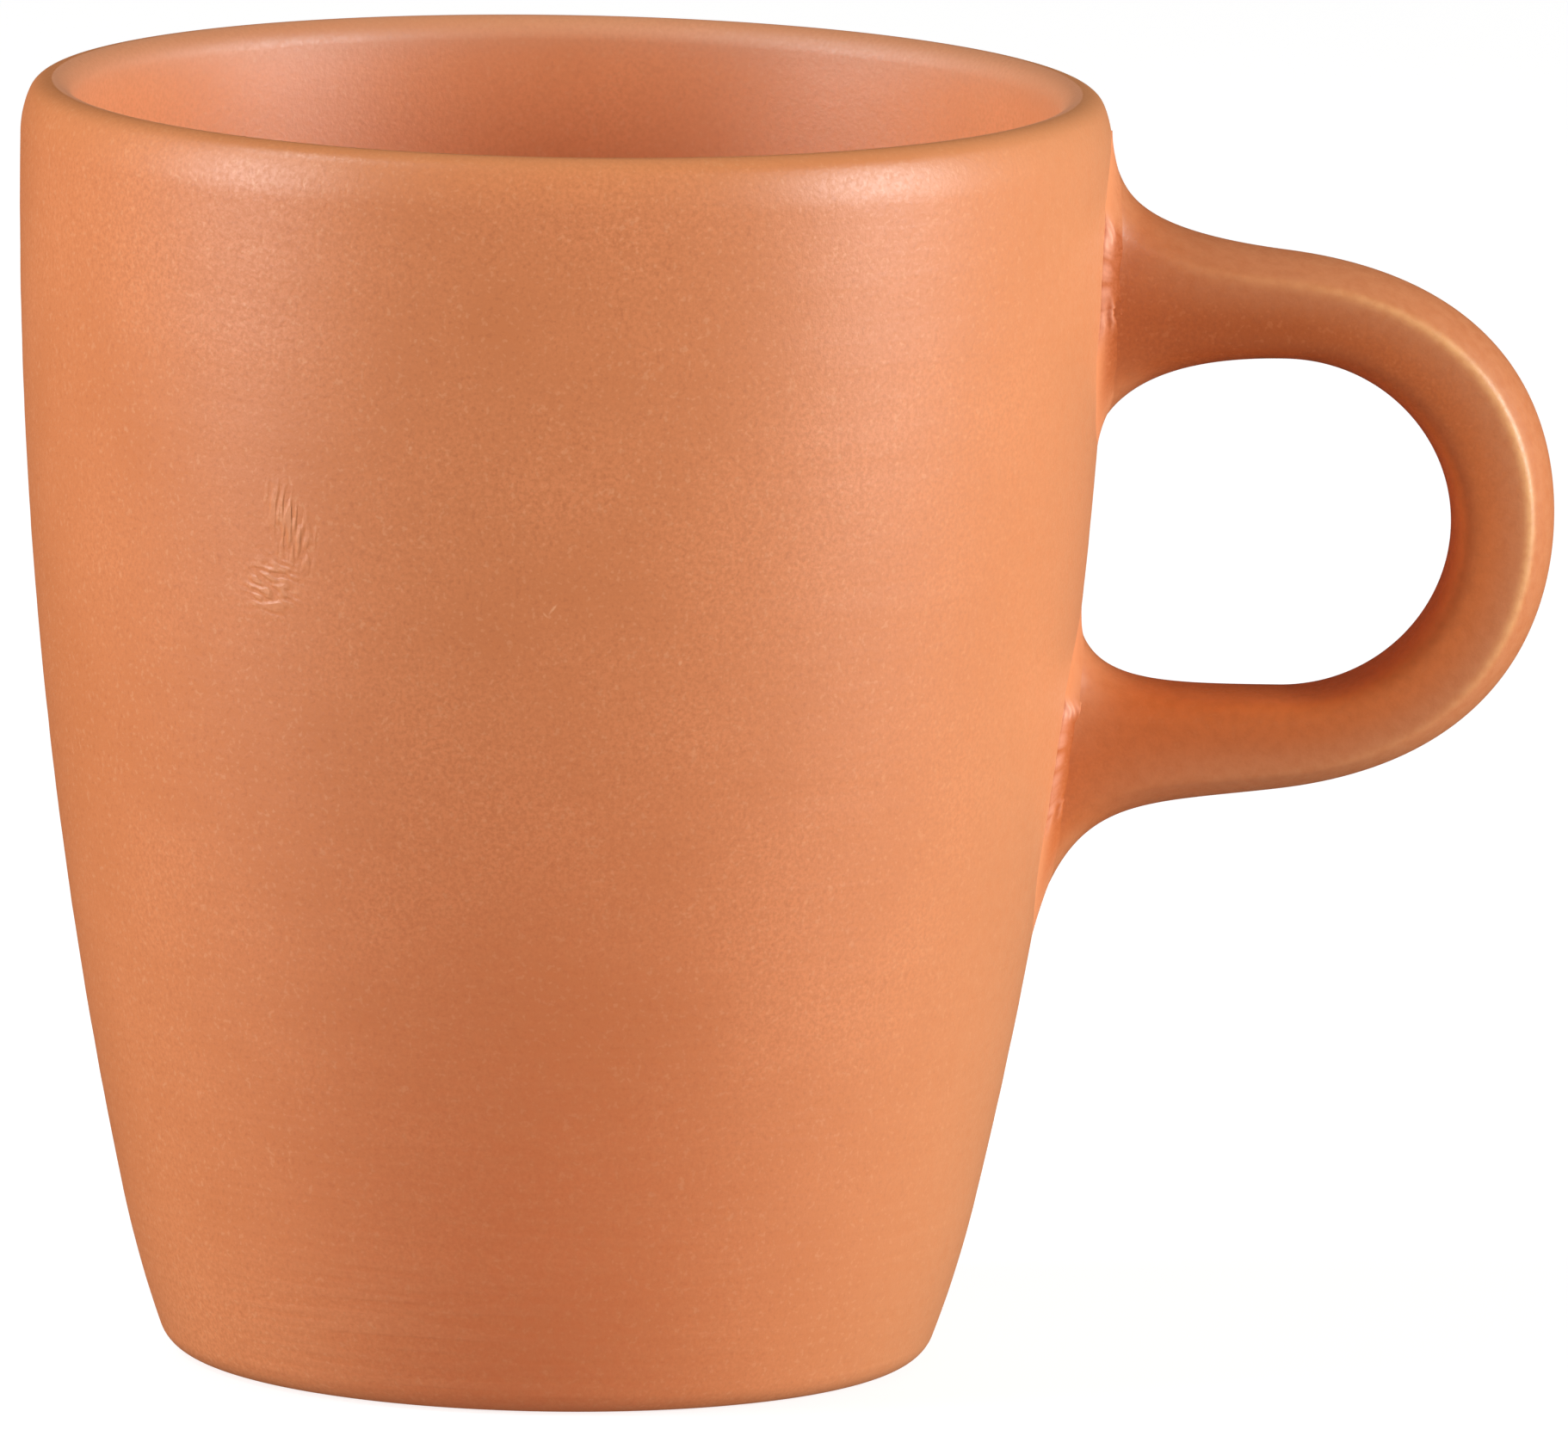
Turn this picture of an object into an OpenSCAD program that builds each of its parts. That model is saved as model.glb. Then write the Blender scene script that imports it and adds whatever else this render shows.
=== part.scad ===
// Espresso cup in matte stoneware: a turned body and a strap handle, luted to the wall with slip.
// Millimetres, z up. The origin is on the cup's axis at the foot, and the handle points along +x.

/* [Cup body] */
// Height from the foot to the top of the lip
cup_h = 70; // [60:0.5:80]
// Outside diameter at the widest place, just below the lip
rim_d = 59.6; // [54:0.2:66]
// Thickness of the wall
wall_t = 2.85; // [2.4:0.05:3.6]
// Thickness of the floor, above the hollow under it
floor_t = 4; // [3:0.1:6]
// Radius of the rounded top of the lip, as a share of the wall's thickness
lip_share = 0.44; // [0.3:0.01:0.49]
// Radius of the shoulder that leads the wall in to the lip
shoulder_r = 5.6; // [4.5:0.1:9]
// Radius of the long curve of the wall, seen from the side
wall_curve_r = 268; // [220:1:400]
// Height below which the wall turns in faster
tuck_h = 8.6; // [6:0.1:14]
// Radius of that faster turn
tuck_r = 59; // [40:1:120]
// Radius of the rounded edge between the wall and the foot
foot_edge_r = 2; // [1:0.1:4]
// Radius of the corner between the wall and the floor, inside
floor_corner_r = 7; // [3:0.1:10]
// Width of the flat ring that the cup stands on
foot_ring_w = 3.2; // [2:0.1:5]
// Depth of the hollow inside that ring
foot_hollow = 0.8; // [0.3:0.1:1.5]

/* [Handle loop] */
// How far the handle reaches out past the widest place of the cup
handle_reach = 24.55; // [20:0.05:30]
// Depth of the middle of the finger gap below the top of the lip
gap_drop = 23.4; // [22:0.1:27]
// Clear height of the finger gap
gap_h = 18.4; // [15:0.1:20]
// Thickness of the strap at the far end of the loop
strap_t = 5.65; // [4:0.05:7]
// Thickness of the upper arm above the crown of the gap
upper_arm_t = 5.8; // [4:0.05:7]
// Thickness of the lower arm below the gap
lower_arm_t = 5.5; // [4:0.05:7]
// Width of the strap from side to side
strap_w = 7.8; // [6:0.1:10]
// Squareness of the strap's section: 2 is an ellipse, more is boxier
section_power = 2.4; // [2:0.1:4]
// How far the outermost point of the loop lies above the middle of the gap
loop_lift = 0.5; // [0:0.1:2]
// Fall of the upper arm's top edge towards the loop, in degrees
upper_fall = 6.5; // [0:0.5:15]
// Rise of the lower arm's bottom edge towards the loop, in degrees
lower_rise = 7.7; // [0:0.5:15]
// How far the outside of the loop carries on along each arm's line
loop_run = 12.2; // [8:0.1:13]
// How far the outside of the loop stays upright at its far end
loop_sweep = 5.6; // [4:0.1:8]

/* [Handle roots] */
// Width of each root on the wall
root_w = 8.8; // [7:0.1:12]
// Height of the upper root's top edge above the middle of the gap
upper_root_top = 19.8; // [17:0.1:19.8]
// Height of the upper root's lower edge above the middle of the gap
upper_root_under = 5.3; // [3.5:0.1:7]
// Depth of the lower root's upper edge below the middle of the gap
lower_root_over = 6; // [4:0.1:7]
// Depth of the lower root's bottom edge below the middle of the gap
lower_root_bottom = 22.4; // [19:0.1:26]
// How far the upper root's top edge follows the wall before it turns out
upper_top_sweep = 1.2; // [0.5:0.1:3]
// How far the upper root's lower edge follows the wall before it turns out
upper_under_sweep = 2.6; // [1:0.1:4]
// How far the lower root's upper edge follows the wall before it turns out
lower_over_sweep = 3.2; // [1:0.1:4]
// How far the lower root's bottom edge follows the wall before it turns out
lower_bottom_sweep = 7.2; // [3:0.1:9]
// How far the upper arm's top edge runs straight from the loop to its root
upper_top_run = 9.6; // [4:0.1:10]
// How far the upper arm's lower edge runs straight from the loop to its root
upper_under_run = 5; // [3:0.1:9]
// How far the lower arm's upper edge runs straight from the loop to its root
lower_over_run = 6.5; // [3:0.1:9]
// How far the lower arm's bottom edge runs straight from the loop to its root
lower_bottom_run = 8; // [4:0.1:10]
// How far the edges of a root stand off the wall while they follow it
root_lift = 0.55; // [0.3:0.05:1]

/* [Slip joints] */
// Thickness of the slip between a root and the wall
slip_t = 0.3; // [0.15:0.05:0.6]
// How far the slip shows all round a root
slip_bead = 0.5; // [0.2:0.05:1]
// Hairline between a root and its slip
seat_gap = 0.02; // [0:0.01:0.1]

/* [Hidden] */

// Fineness of the handle's surface: points round the strap, steps along each curve and over a root
section_steps = 36;
root_steps = 5;
blend_steps = 10;
loop_steps = 12;
$fn = 180;

// Joins of the cup's outline, each tangent to the next: lip, shoulder, long wall, tuck, foot edge
rim_r = rim_d / 2;
lip_r = lip_share * wall_t;
mouth_r = rim_r - wall_t;
lip_c = [mouth_r + lip_r, cup_h - lip_r];
shoulder_gap = shoulder_r - lip_r;
widest_z = lip_c.y - sqrt(pow(shoulder_gap, 2) - pow(lip_c.x - rim_r + shoulder_r, 2));
shoulder_c = [rim_r - shoulder_r, widest_z];
lip_join_z = lip_c.y + lip_r * (lip_c.y - widest_z) / shoulder_gap;
wall_c = [rim_r - wall_curve_r, widest_z];
tuck_angle = asin((widest_z - tuck_h) / wall_curve_r);
tuck_c = wall_c + (wall_curve_r - tuck_r) * [cos(tuck_angle), -sin(tuck_angle)];
foot_drop = tuck_c.y - foot_edge_r;
foot_r = tuck_c.x + sqrt(pow(tuck_r - foot_edge_r, 2) - pow(foot_drop, 2));
foot_join_z = foot_edge_r * (1 - foot_drop / (tuck_r - foot_edge_r));
// How far the tuck runs on inside the long wall, so that the two overlap
tuck_lap = foot_edge_r;

// Inside of the cup: floor level, and the corner that is tangent to the inside of the wall
floor_z = foot_hollow + floor_t;
cavity_r = wall_curve_r - wall_t;
corner_z = floor_z + floor_corner_r;
corner_r = wall_c.x + sqrt(pow(cavity_r - floor_corner_r, 2) - pow(widest_z - corner_z, 2));
corner_join_z = corner_z - floor_corner_r * (widest_z - corner_z) / (cavity_r - floor_corner_r);
hollow_r = foot_r - foot_ring_w;

// Places along the handle, in its own plane: x out from the axis, y up
gap_z = cup_h - gap_drop;
gap_r = gap_h / 2;
far_x = rim_r + handle_reach;
crown_x = far_x - strap_t - gap_r;
upper_crown = [crown_x, gap_z + gap_r];
lower_crown = [crown_x, gap_z - gap_r];
upper_back = upper_crown + [0, upper_arm_t];
lower_back = lower_crown - [0, lower_arm_t];
inner_far = [crown_x + gap_r, gap_z];
outer_far = [far_x, gap_z + loop_lift];
upper_line = [1, -tan(upper_fall)];
lower_line = [1, tan(lower_rise)];
// Length of a curve's pull that makes a quarter circle
round_pull = gap_r * 4 / 3 * (sqrt(2) - 1);

// Distance from the axis of the long wall, or of a skin that lies grow millimetres outside it
function wall_x(z, grow) = wall_c.x + sqrt(pow(wall_curve_r + grow, 2) - pow(widest_z - z, 2));

// Point of the skin of the slip at height z, in the handle's plane, moved lift millimetres outwards
function seat(z, lift = 0) = [wall_x(z, slip_t) + lift, z];

// Point of that skin y millimetres to the side, with the seat's clearance
function seated(y, z) = [sqrt(pow(wall_x(z, slip_t + seat_gap), 2) - y * y), y, z];

// Cubic curve through p[0] and p[3], pulled towards p[1] and p[2]
function bezier(p, t) =
    p[0] * pow(1 - t, 3) + 3 * p[1] * t * pow(1 - t, 2) + 3 * p[2] * t * t * (1 - t) + p[3] * pow(t, 3);

function curve(p, steps) = [for (i = [0:steps]) bezier(p, i / steps)];

function tail(list) = [for (i = [1:len(list) - 1]) list[i]];

function reversed(list) = [for (i = [len(list) - 1:-1:0]) list[i]];

// Edge of an arm from its root on the wall at height z to the loop; sweep is signed along the wall
function arm_edge(z, sweep, run, line, end) =
    curve([seat(z), seat(z + sweep, root_lift), end - run * line, end], blend_steps);

// Outside edge of the handle, from the upper root round to the lower one
outer_rail = concat(
    arm_edge(gap_z + upper_root_top, -upper_top_sweep, upper_top_run, upper_line, upper_back),
    tail(curve([upper_back, upper_back + loop_run * upper_line, outer_far + [0, loop_sweep],
                outer_far], loop_steps)),
    tail(curve([outer_far, outer_far - [0, loop_sweep], lower_back + loop_run * lower_line,
                lower_back], loop_steps)),
    tail(reversed(arm_edge(gap_z - lower_root_bottom, lower_bottom_sweep, lower_bottom_run,
                           lower_line, lower_back))));

// Edge of the finger gap, step for step with the outside edge
inner_rail = concat(
    arm_edge(gap_z + upper_root_under, upper_under_sweep, upper_under_run, [1, 0], upper_crown),
    tail(curve([upper_crown, upper_crown + [round_pull, 0], inner_far + [0, round_pull],
                inner_far], loop_steps)),
    tail(curve([inner_far, inner_far - [0, round_pull], lower_crown + [round_pull, 0],
                lower_crown], loop_steps)),
    tail(reversed(arm_edge(gap_z - lower_root_over, -lower_over_sweep, lower_over_run, [1, 0],
                           lower_crown))));

// Half width of the strap at each step: full at the roots, easing to the strap's own along the arms
rail_last = len(outer_rail) - 1;
function half_width(i) =
    let (from_root = min(i, rail_last - i) / blend_steps)
    strap_w / 2 + (root_w - strap_w) / 2 * pow(max(0, 1 - from_root), 2);

// Section of the strap: a circle's sine or cosine, made boxier
function boxier(v) = sign(v) * pow(abs(v), 2 / section_power);

// Ring of points of the strap between an outside and an inside edge point
function ring(outer, inner, half) =
    let (mid = (outer + inner) / 2, arm = (outer - inner) / 2)
    [for (k = [0:section_steps - 1])
        let (a = 360 * k / section_steps)
        [mid.x + arm.x * boxier(cos(a)), half * boxier(sin(a)), mid.y + arm.y * boxier(cos(a))]];

// Middle of a root's face, and a ring of that face, shrunk about the middle and laid on the slip
function root_middle(i) = seated(0, (outer_rail[i].y + inner_rail[i].y) / 2);
function root_ring(i, share) =
    let (z_mid = root_middle(i).z)
    [for (p = ring(outer_rail[i], inner_rail[i], half_width(i)))
        seated(p.y * share, z_mid + (p.z - z_mid) * share)];

// Closed skin over a row of rings, with a fan of faces from each end's middle point
module skin(rings, first, last) {
    n = len(rings[0]);
    count = len(rings) * n;
    sides = [for (i = [0:len(rings) - 2], k = [0:n - 1], half = [0, 1])
        let (a = i * n + k, b = i * n + (k + 1) % n)
        half == 0 ? [a, b, b + n] : [a, b + n, a + n]];
    fans = [for (k = [0:n - 1], end = [0, 1])
        let (next = (k + 1) % n)
        end == 0 ? [count, next, k] : [count + 1, count - n + k, count - n + next]];
    points = concat([for (r = rings, p = r) p], [first, last]);
    polyhedron(points, concat(sides, fans), convexity = 6);
}

// Slice of the half plane of the cup's outline between two heights
module band(z0, z1) {
    translate([0, z0]) square([rim_d, z1 - z0]);
}

module disc(centre, r) {
    translate(centre) circle(r);
}

// Half of the cup's outline, filled: foot edge, tuck, long wall and shoulder. Each smaller round lies
// inside the next larger one, so the pieces overlap and leave no seam between them.
module filled_outline() {
    square([foot_r, tuck_h]);
    disc([foot_r, foot_edge_r], foot_edge_r);
    intersection() {
        disc(tuck_c, tuck_r);
        band(foot_join_z, tuck_h + tuck_lap);
    }
    intersection() {
        disc(wall_c, wall_curve_r);
        band(tuck_h, widest_z);
    }
    intersection() {
        disc(shoulder_c, shoulder_r);
        band(shoulder_c.y - shoulder_r, lip_join_z);
    }
}

// Half of the space inside the cup, with its rounded corner at the floor; its pieces overlap too
module cavity_outline() {
    translate([0, floor_z]) square([corner_r, 2 * floor_corner_r]);
    disc([corner_r, corner_z], floor_corner_r);
    intersection() {
        disc(wall_c, cavity_r);
        band(corner_join_z, cup_h);
    }
    translate([0, widest_z]) square([mouth_r, cup_h - widest_z]);
    translate([0, lip_c.y]) square([lip_c.x, cup_h - lip_c.y]);
}

// Solid of revolution of the long wall, grow millimetres outside it, for what seats on the wall
module wall_form(grow) {
    rotate_extrude() intersection() {
        disc(wall_c, wall_curve_r + grow);
        band(tuck_h, cup_h);
    }
}

module cup_body() {
    color("#cd7f53") rotate_extrude() {
        difference() {
            filled_outline();
            cavity_outline();
            translate([0, -foot_hollow]) square([hollow_r, 2 * foot_hollow]);
        }
        disc(lip_c, lip_r);
    }
}

module handle() {
    shares = [for (i = [1:root_steps]) i / root_steps];
    loop = [for (i = [1:rail_last - 1]) ring(outer_rail[i], inner_rail[i], half_width(i))];
    upper_face = [for (share = shares) root_ring(0, share)];
    lower_face = [for (share = reversed(shares)) root_ring(rail_last, share)];
    color("#b9683d")
        skin(concat(upper_face, loop, lower_face), root_middle(0), root_middle(rail_last));
}

// Pad of slip on the wall between two heights, as wide as a root and a bead more
module slip_joint(z_low, z_high) {
    half_h = (z_high - z_low) / 2 + slip_bead;
    half_w = root_w / 2 + slip_bead;
    outline = [for (k = [0:section_steps - 1])
        let (a = 360 * k / section_steps)
        [half_w * boxier(sin(a)), half_h * boxier(cos(a))]];
    color("#d98f6a") intersection() {
        difference() {
            wall_form(slip_t);
            wall_form(0);
        }
        translate([0, 0, (z_low + z_high) / 2]) rotate([90, 0, 90])
            linear_extrude(far_x) polygon(outline);
    }
}

module upper_slip_joint() {
    slip_joint(gap_z + upper_root_under, gap_z + upper_root_top);
}

module lower_slip_joint() {
    slip_joint(gap_z - lower_root_bottom, gap_z - lower_root_over);
}

cup_body();
handle();
upper_slip_joint();
lower_slip_joint();
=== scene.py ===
# %% [markdown]
# # A small stoneware espresso cup
# The cup is a thin turned body, a strap handle that was made apart from it, and the slip (liquid clay) that
# luted the two together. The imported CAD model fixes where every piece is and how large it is. This lesson
# dresses that frame: each CAD piece gets a finer surface worked out with numpy, and a procedural clay.

import bpy
import numpy as np
from mathutils import Matrix, Vector


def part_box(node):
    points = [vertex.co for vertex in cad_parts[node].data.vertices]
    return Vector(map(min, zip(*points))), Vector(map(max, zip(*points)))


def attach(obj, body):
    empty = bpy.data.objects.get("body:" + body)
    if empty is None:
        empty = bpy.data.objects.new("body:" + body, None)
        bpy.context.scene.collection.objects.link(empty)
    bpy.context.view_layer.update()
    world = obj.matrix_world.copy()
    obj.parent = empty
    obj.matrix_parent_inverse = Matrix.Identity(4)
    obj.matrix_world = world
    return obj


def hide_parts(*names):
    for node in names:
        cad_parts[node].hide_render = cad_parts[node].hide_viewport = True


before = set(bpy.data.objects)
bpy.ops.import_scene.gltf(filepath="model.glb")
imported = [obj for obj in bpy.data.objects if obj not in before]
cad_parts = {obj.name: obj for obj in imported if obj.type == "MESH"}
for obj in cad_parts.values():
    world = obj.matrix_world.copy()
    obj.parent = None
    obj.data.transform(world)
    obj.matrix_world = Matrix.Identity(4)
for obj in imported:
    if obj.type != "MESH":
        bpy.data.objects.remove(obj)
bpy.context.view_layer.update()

# %% [markdown]
# ## Units and the sizes that the frame gives
# Blender works in metres here, as the frame does. A potter thinks in millimetres, so the shapes below are
# worked out in millimetres and turned into metres when a mesh is made. The overall sizes are read from the
# CAD nodes, so that the lip and the far edge of the handle lie where the frame has them.

# %% Sizes read from the frame
MM = 0.001


def far_corner(node):
    """Highest corner of a CAD node's box, in millimetres."""
    return np.array(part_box(node)[1]) / MM


rim_r, _, cup_h = far_corner("cup_body")
far_x = far_corner("handle")[0]
print(f"cup {2 * rim_r:.1f} mm across, {cup_h:.1f} mm tall, handle out to {far_x:.1f} mm")

# %% [markdown]
# ## From a grid of points to a mesh
# Every piece is a grid: rows follow a profile or a path, columns go round. A loop over thousands of
# vertices would be slow in Python, so the grid is one numpy array, and the faces are index arithmetic on
# it. The columns wrap round. The first and last rows close on one point each, or join into a ring, so no
# seam or pole is left open.


# %% Helpers that make a closed mesh from a grid and keep numbers on it
def make_piece(name, rows, first_point=None, last_point=None):
    """Object from rows of points (row, column, xyz) in mm. Columns wrap round. With end points, a fan of
    triangles closes each end; without them, the last row joins the first and the piece is a ring. The signed
    volume, a sixth of the sum of a . (b x c) over all triangles, tells which way the faces point."""
    count, around, _ = rows.shape
    ring = first_point is None
    here = np.arange(count if ring else count - 1)[:, None]
    column = np.arange(around)[None, :]
    after = (column + 1) % around
    above = (here + 1) % count
    quads = np.stack([here * around + column, here * around + after,
                      above * around + after, above * around + column], -1).reshape(-1, 4)
    points = rows.reshape(-1, 3)
    fans = np.zeros((0, 3), int)
    if not ring:
        points = np.concatenate([points, [first_point], [last_point]])
        turn = np.arange(around)
        step = (turn + 1) % around
        start, top = count * around, (count - 1) * around
        fans = np.concatenate([np.stack([np.full(around, start), step, turn], -1),
                               np.stack([np.full(around, start + 1), top + turn, top + step], -1)])
    triangles = np.concatenate([quads[:, [0, 1, 2]], quads[:, [0, 2, 3]], fans])
    a, b, c = points[triangles].transpose(1, 0, 2)
    volume = np.einsum("ij,ij->", a, np.cross(b, c)) / 6
    order = -1 if volume < 0 else 1
    mesh = bpy.data.meshes.new(name)
    mesh.from_pydata((points * MM).tolist(), [], quads[:, ::order].tolist() + fans[:, ::order].tolist())
    mesh.shade_smooth()
    mesh.validate()
    piece = bpy.data.objects.new(name, mesh)
    bpy.context.scene.collection.objects.link(piece)
    print(f"{name}: {len(triangles)} triangles round {abs(volume) / 1000:.3f} ml of clay")
    return piece


def paint(piece, name, values):
    """Keep one number per point of the grid on a piece's mesh, for its material to read by that name. The
    points that close the two ends, if there are any, get 0."""
    layer = piece.data.attributes.new(name, "FLOAT", "POINT")
    numbers = np.append(values.ravel(), np.zeros(2))[:len(piece.data.vertices)]
    layer.data.foreach_set("value", numbers.astype(np.float32))


# %% [markdown]
# ## The outline of the body
# A turned cup is one outline spun about its axis. Seen from the side this one is a chain of arcs, each
# tangent to the next: a small foot edge, a quick tuck, one very long and shallow curve for the wall, a
# shoulder that leads in, and the round of the lip. The inside follows the wall at an even thickness down to
# a soft corner. A chain of arcs keeps the highlights smooth, where a hand-placed curve would show bumps.

# %% Sizes of the outline in millimetres
wall_t = 2.85
lip_r = 0.44 * wall_t
shoulder_r = 5.6
wall_curve_r = 268.0
tuck_h = 8.6
tuck_r = 59.0
foot_edge_r = 2.0
floor_t = 4.0
floor_corner_r = 7.0
foot_ring_w = 3.2
foot_hollow = 0.8
hollow_edge_r = 0.35
pole_r = 0.4
print(f"wall {wall_t} mm thick, lip rounded to {lip_r:.2f} mm, foot ring {foot_ring_w} mm wide")

# %% Centres of the arcs, each worked out from the one before
mouth_r = rim_r - wall_t
lip_c = np.array([mouth_r + lip_r, cup_h - lip_r])
shoulder_run = lip_c[0] - rim_r + shoulder_r
widest_z = lip_c[1] - np.sqrt((shoulder_r - lip_r) ** 2 - shoulder_run ** 2)
shoulder_c = np.array([rim_r - shoulder_r, widest_z])
wall_c = np.array([rim_r - wall_curve_r, widest_z])
tuck_angle = np.arcsin((widest_z - tuck_h) / wall_curve_r)
tuck_c = wall_c + (wall_curve_r - tuck_r) * np.array([np.cos(tuck_angle), -np.sin(tuck_angle)])
foot_drop = tuck_c[1] - foot_edge_r
foot_r = tuck_c[0] + np.sqrt((tuck_r - foot_edge_r) ** 2 - foot_drop ** 2)
foot_angle = np.arcsin(foot_drop / (tuck_r - foot_edge_r))
floor_z = foot_hollow + floor_t
cavity_r = wall_curve_r - wall_t
corner_z = floor_z + floor_corner_r
corner_r = wall_c[0] + np.sqrt((cavity_r - floor_corner_r) ** 2 - (widest_z - corner_z) ** 2)
corner_angle = np.arcsin((widest_z - corner_z) / (cavity_r - floor_corner_r))
lip_angle = np.arctan2(lip_c[1] - widest_z, shoulder_run)
hollow_r = foot_r - foot_ring_w
print(f"widest at {widest_z:.1f} mm, foot {2 * foot_r:.1f} mm across, floor at {floor_z:.1f} mm")


# %% The outline itself, from the middle of the underside to the middle of the floor
def arc(centre, radius, start, stop, steps):
    """Arc of a circle: centre + radius * (cos a, sin a), with a even from start to stop, stop left out."""
    a = np.linspace(start, stop, steps, endpoint=False)
    return np.stack([centre[0] + radius * np.cos(a), centre[1] + radius * np.sin(a)], -1)


def line(start, stop, steps):
    """Straight run from start to stop in even steps, stop left out."""
    t = np.linspace(0, 1, steps, endpoint=False)[:, None]
    return np.array(start) * (1 - t) + np.array(stop) * t


quarter = np.pi / 2
hollow_corner = (hollow_r - hollow_edge_r, foot_hollow - hollow_edge_r)
ring_corner = (hollow_r + hollow_edge_r, hollow_edge_r)
outside = np.concatenate([
    line((pole_r, foot_hollow), (hollow_corner[0], foot_hollow), 10),
    arc(hollow_corner, hollow_edge_r, quarter, 0, 4),
    arc(ring_corner, hollow_edge_r, 2 * quarter, 3 * quarter, 5),
    line((ring_corner[0], 0), (foot_r, 0), 5),
    arc((foot_r, foot_edge_r), foot_edge_r, -quarter, -foot_angle, 14),
    arc(tuck_c, tuck_r, -foot_angle, -tuck_angle, 22),
    arc(wall_c, wall_curve_r, -tuck_angle, 0, 130),
    arc(shoulder_c, shoulder_r, 0, lip_angle, 12),
    arc(lip_c, lip_r, lip_angle, 2 * quarter, 20),
])
inside = np.concatenate([
    line((mouth_r, lip_c[1]), (mouth_r, widest_z), 4),
    arc(wall_c, cavity_r, 0, -corner_angle, 52),
    arc((corner_r, corner_z), floor_corner_r, -corner_angle, -quarter, 16),
    line((corner_r, floor_z), (pole_r, floor_z), 10),
])
outline = np.concatenate([outside, inside])
print(f"the outline has {len(outside)} points outside and {len(inside)} inside")

# %% [markdown]
# ## Turning marks
# A rib held against the spinning clay leaves faint level rings, about a hundredth of a millimetre deep. A
# bump map would do from afar, but real rings also catch the light at the edge of the cup, so the outline
# itself is moved along its normal by a sum of sine waves in height, with fixed random phases.


# %% Push the outline in and out along its normal
def outline_normals(points):
    """Unit normals of an outline: its direction of travel turned by a quarter turn to the right."""
    along = np.gradient(points, axis=0)
    along /= np.linalg.norm(along, axis=1, keepdims=True)
    return np.stack([along[:, 1], -along[:, 0]], -1)


def ripple(x, shortest, longest, waves, seed):
    """Sum of sine waves of x, with lengths spread evenly from shortest to longest, scaled to about +-1."""
    rng = np.random.default_rng(seed)
    lengths = np.linspace(shortest, longest, waves)
    phases = rng.uniform(0, 2 * np.pi, waves)
    return np.sin(2 * np.pi * x[..., None] / lengths + phases).sum(-1) / np.sqrt(waves)


ring_depth = 0.005
ring_fade = 6.0
off_foot = np.clip((outline[:, 1] - foot_edge_r) / ring_fade, 0, 1)
off_lip = np.clip((widest_z - outline[:, 1]) / ring_fade, 0, 1)
rings = ring_depth * ripple(outline[:, 1], shortest=1.6, longest=7.0, waves=9, seed=4) * off_foot * off_lip
turned = outline + outline_normals(outline) * rings[:, None]
print(f"turning marks are up to {1000 * np.abs(rings).max():.0f} micrometres deep")


# %% Spin the outline
def spin(points, around):
    """Revolve: an outline point (r, z) at the angle a becomes (r cos a, r sin a, z)."""
    a = np.linspace(0, 2 * np.pi, around, endpoint=False)
    r, z = points[:, :1], points[:, 1:]
    return np.stack([r * np.cos(a), r * np.sin(a), z + 0 * a], -1)


body_around = 320
body_rows = spin(turned, body_around)
cup_body_ware = make_piece("cup_body_ware", body_rows, (0, 0, foot_hollow), (0, 0, floor_z))
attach(cup_body_ware, "root")
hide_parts("cup_body")

# %% [markdown]
# ## The strap handle
# The handle is a strap bent into a loop. Its outside edge and the edge of the finger gap are two rails in
# the plane through the cup's axis, each a chain of cubic curves. A rounded section is carried along both
# rails at once, so the strap swells where the rails part, at the roots, and lies flat on the wall there. A
# tube of even thickness along one curve would be simpler, but it couldn't flare at the roots as this one
# does.

# %% Sizes of the handle in millimetres
gap_z = cup_h - 23.4
gap_r = 9.2
strap_t = 5.65
upper_arm_t = 5.8
lower_arm_t = 5.5
strap_w = 7.8
root_w = 8.8
section_power = 2.4
loop_lift = 0.5
upper_fall = np.radians(6.5)
lower_rise = np.radians(7.7)
loop_run = 12.2
loop_sweep = 5.6
root_lift = 0.55
slip_t = 0.3
run_on = 0.6
root_sink = 0.12
root_heights = {"upper": (gap_z + 5.3, gap_z + 19.8), "lower": (gap_z - 22.4, gap_z - 6.0)}
print(f"finger gap {2 * gap_r:.1f} mm high round the height {gap_z:.1f} mm")

# %% Places along the handle, in its own plane: x out from the axis, z up
crown_x = far_x - strap_t - gap_r
upper_crown = np.array([crown_x, gap_z + gap_r])
lower_crown = np.array([crown_x, gap_z - gap_r])
upper_back = upper_crown + (0, upper_arm_t)
lower_back = lower_crown - (0, lower_arm_t)
inner_far = np.array([crown_x + gap_r, gap_z])
outer_far = np.array([far_x, gap_z + loop_lift])
upper_line = np.array([1, -np.tan(upper_fall)])
lower_line = np.array([1, np.tan(lower_rise)])
level = np.array([1.0, 0.0])
upright = np.array([0.0, 1.0])
round_pull = gap_r * 4 / 3 * (np.sqrt(2) - 1)
print(f"the arms give way to the loop {crown_x:.1f} mm from the axis")


# %% Curves for the rails
def wall_x(z, grow=0.0):
    """Distance from the axis of the long wall at height z, grow millimetres outside it."""
    return wall_c[0] + np.sqrt((wall_curve_r + grow) ** 2 - (widest_z - z) ** 2)


def cubic(t, p0, p1, p2, p3):
    """Cubic curve at t, from p0 at 0 to p3 at 1, pulled towards p1 and p2: with s = 1 - t it is
    s^3 p0 + 3 s^2 t p1 + 3 s t^2 p2 + t^3 p3."""
    s = 1 - t
    return s ** 3 * p0 + 3 * s ** 2 * t * p1 + 3 * s * t ** 2 * p2 + t ** 3 * p3


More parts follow.
